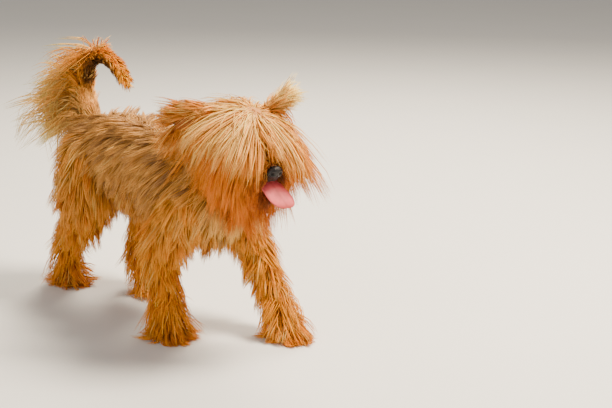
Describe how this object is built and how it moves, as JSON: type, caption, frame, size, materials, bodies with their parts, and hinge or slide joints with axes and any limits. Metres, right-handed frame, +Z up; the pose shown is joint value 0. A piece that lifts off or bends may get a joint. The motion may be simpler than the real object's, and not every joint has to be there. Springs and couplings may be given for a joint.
{
  "type": "yorkshire terrier",
  "caption": "Life-size standing model of a long-haired yorkshire terrier in mid-stride, head turned to its right, mouth open and tail carried over its back.",
  "frame": {"origin": "on the floor, under the middle of the model's box", "axes": "+X towards the chest's front along the spine, +Y to the animal's left, +Z up"},
  "size_m": [0.4898, 0.1718, 0.327],
  "materials": {
    "nose": "moist black leather",
    "eye": "wet gloss",
    "tongue": "moist",
    "ear": "short hair with a long fringe",
    "head_coat": "long golden hair, cream in the light",
    "jaw_coat": "rust hair with dark tips",
    "neck_coat": "long golden tan hair",
    "body_coat": "long sandy hair with steel grey over the back",
    "tail_coat": "long dark and pale gold plume",
    "leg_coat": "golden orange hair"
  },
  "bodies": {
    "root": {"nose": "nose", "eye_right": "eye", "eye_left": "eye", "tongue": "tongue", "ear_right": "ear", "ear_left": "ear", "head": "head_coat", "jaw": "jaw_coat", "neck": "neck_coat", "torso": "body_coat", "tail_base": "tail_coat", "tail_tip": "tail_coat", "foreleg_right": "leg_coat", "foreleg_left": "leg_coat", "hindleg_right": "leg_coat", "hindleg_left": "leg_coat"}
  },
  "joints": []
}
